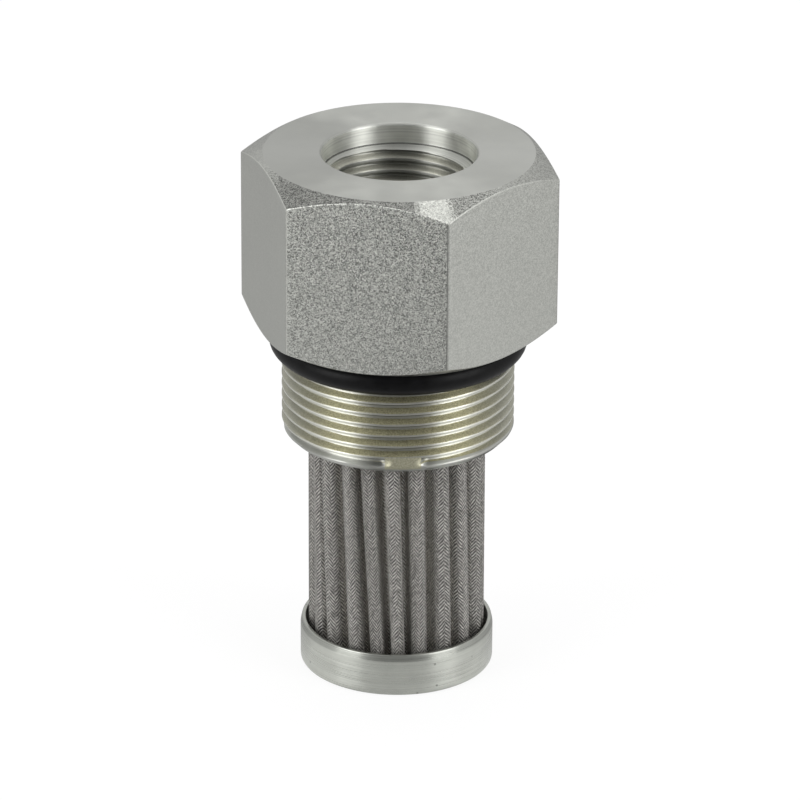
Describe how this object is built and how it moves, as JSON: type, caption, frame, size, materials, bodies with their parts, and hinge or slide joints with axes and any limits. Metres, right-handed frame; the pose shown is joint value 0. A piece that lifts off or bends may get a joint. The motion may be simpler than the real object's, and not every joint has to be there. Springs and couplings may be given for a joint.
{
  "type": "hydraulic filter",
  "caption": "Screw-in hydraulic filter: a hexagon fitting with a tapped port and threaded spigot, an O-ring, and a pleated wire mesh element in a metal end cap.",
  "frame": {"origin": "centre of the end cap's underside, on the filter's axis", "axes": "+Z along the axis from the end cap to the tapped port, hexagon flats square to Y and corners on X"},
  "size_m": [0.0416, 0.036, 0.0708],
  "materials": {
    "zinc_plated_steel": "zinc plated, flats grained, top turned",
    "seal_rubber": "smooth black",
    "gasket_rubber": "matt",
    "drawn_steel": "brushed round, satin",
    "stainless_mesh": "woven wire",
    "core_steel": "mill finish",
    "cured_adhesive": "cast"
  },
  "bodies": {
    "root": {"hex_body": "zinc_plated_steel", "body_o_ring": "seal_rubber", "element_gasket": "gasket_rubber", "upper_end_ring": "drawn_steel", "upper_bond": "cured_adhesive", "outer_support_mesh": "stainless_mesh", "filter_mesh": "stainless_mesh", "inner_support_mesh": "stainless_mesh", "core_tube": "core_steel", "lower_bond": "cured_adhesive", "end_cap": "drawn_steel"}
  },
  "joints": []
}
